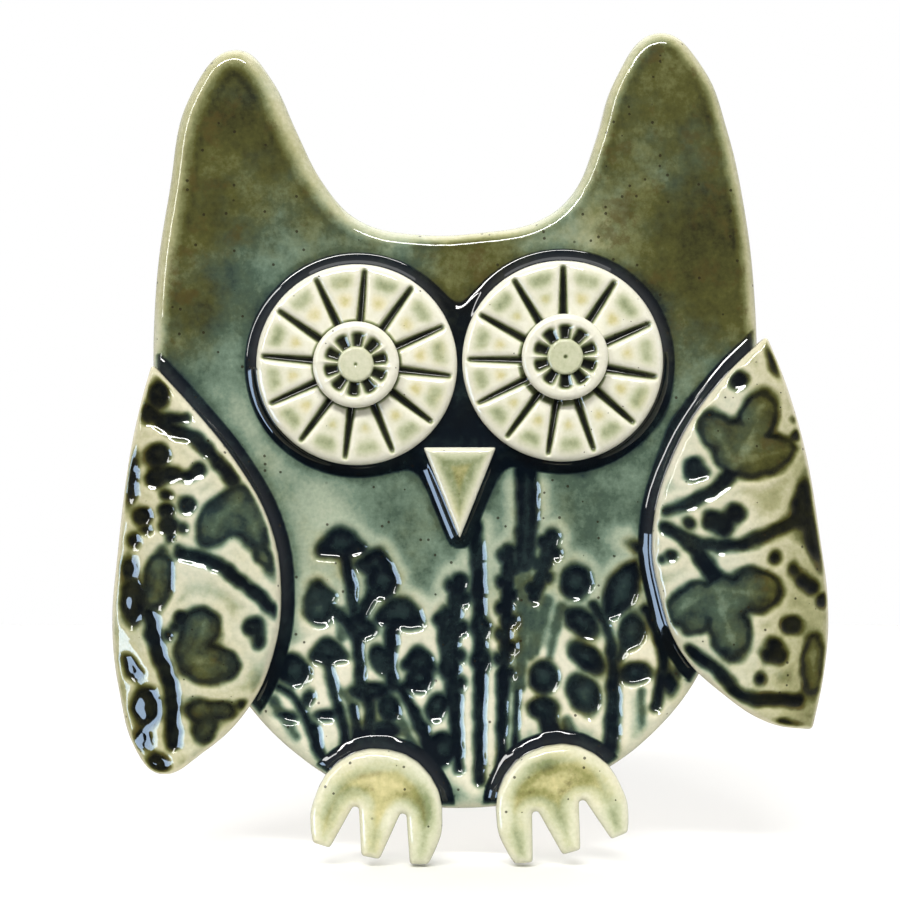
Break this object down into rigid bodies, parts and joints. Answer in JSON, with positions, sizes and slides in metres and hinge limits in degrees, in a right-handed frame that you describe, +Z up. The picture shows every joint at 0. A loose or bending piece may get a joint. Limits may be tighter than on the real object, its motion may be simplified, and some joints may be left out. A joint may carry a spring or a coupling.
{
  "type": "ceramic owl wall plaque",
  "caption": "Flat slab-built glazed ceramic owl with applied wings, eyes, beak and feet and a wire in a back pocket for hanging on a wall.",
  "frame": {"origin": "in the plane of the flat back, behind the middle of the hanging wire", "axes": "+X to the viewer's right, +Z up towards the ears, +Y into the wall; the owl faces -Y"},
  "size_m": [0.1449, 0.015, 0.1681],
  "materials": {
    "body_glaze": "glossy translucent olive to blue-green glaze, pale where thin and nearly black where it pools; bare pale stoneware at the back",
    "wing_glaze": "the same glossy glaze over deep impressed leaves, cream on the high places",
    "eye_glaze": "thin glossy cream glaze with green and yellow blotches, dark in the grooves",
    "beak_glaze": "thin glossy green glaze with cream edges",
    "foot_glaze": "thin glossy pale green glaze with cream edges",
    "wire_metal": "dull grey-brown heat-proof wire"
  },
  "bodies": {
    "root": {"body_slab": "body_glaze", "left_wing": "wing_glaze", "right_wing": "wing_glaze", "left_eye_disc": "eye_glaze", "right_eye_disc": "eye_glaze", "left_pupil_button": "eye_glaze", "right_pupil_button": "eye_glaze", "beak": "beak_glaze", "left_foot": "foot_glaze", "right_foot": "foot_glaze", "hanging_wire": "wire_metal"}
  },
  "joints": []
}
